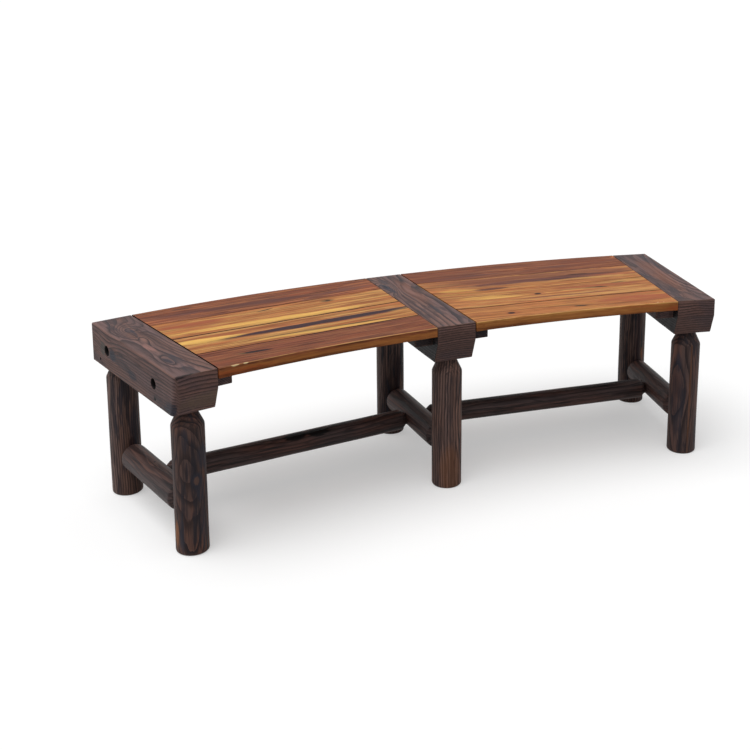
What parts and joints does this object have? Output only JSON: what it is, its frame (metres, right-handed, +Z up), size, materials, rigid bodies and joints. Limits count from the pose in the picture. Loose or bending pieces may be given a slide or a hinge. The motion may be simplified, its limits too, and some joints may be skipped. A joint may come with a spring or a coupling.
{
  "type": "curved tree bench",
  "caption": "Curved rustic timber bench to stand round a tree: seat boards between squared beams on round log legs, tied by round stretchers.",
  "frame": {"origin": "on the floor under the middle of the bench's overall length and depth", "axes": "+X along the bench to the sitter's left when seated facing the hollow front (the picture's right), -Y towards the hollow front, +Z up"},
  "size_m": [1.4796, 0.508, 0.4001],
  "materials": {
    "seat_wood": "stained softwood, satin oil",
    "beam_wood": "dark brushed softwood with raised grain, satin oil",
    "log_wood": "dark brushed round timber, satin oil",
    "batten_wood": "dark stained softwood, satin",
    "zinc": "zinc-plated steel"
  },
  "bodies": {
    "root": {"batten_left_inner": "batten_wood", "batten_left_outer": "batten_wood", "batten_right_inner": "batten_wood", "batten_right_outer": "batten_wood", "beam_left": "beam_wood", "beam_middle": "beam_wood", "beam_right": "beam_wood", "board_left_back": "seat_wood", "board_left_front": "seat_wood", "board_left_middle_back": "seat_wood", "board_left_middle_front": "seat_wood", "board_right_back": "seat_wood", "board_right_front": "seat_wood", "board_right_middle_back": "seat_wood", "board_right_middle_front": "seat_wood", "board_screws_left": "zinc", "board_screws_right": "zinc", "coach_screws_left": "zinc", "coach_screws_right": "zinc", "cross_stretcher_left": "log_wood", "cross_stretcher_middle": "log_wood", "cross_stretcher_right": "log_wood", "leg_left_back": "log_wood", "leg_left_front": "log_wood", "leg_middle_back": "log_wood", "leg_middle_front": "log_wood", "leg_right_back": "log_wood", "leg_right_front": "log_wood", "lock_screws_left": "zinc", "lock_screws_right": "zinc", "long_stretcher_left": "log_wood", "long_stretcher_right": "log_wood", "nuts": "zinc", "through_bolts": "zinc", "washers_left": "zinc", "washers_middle": "zinc", "washers_right": "zinc"}
  },
  "joints": []
}
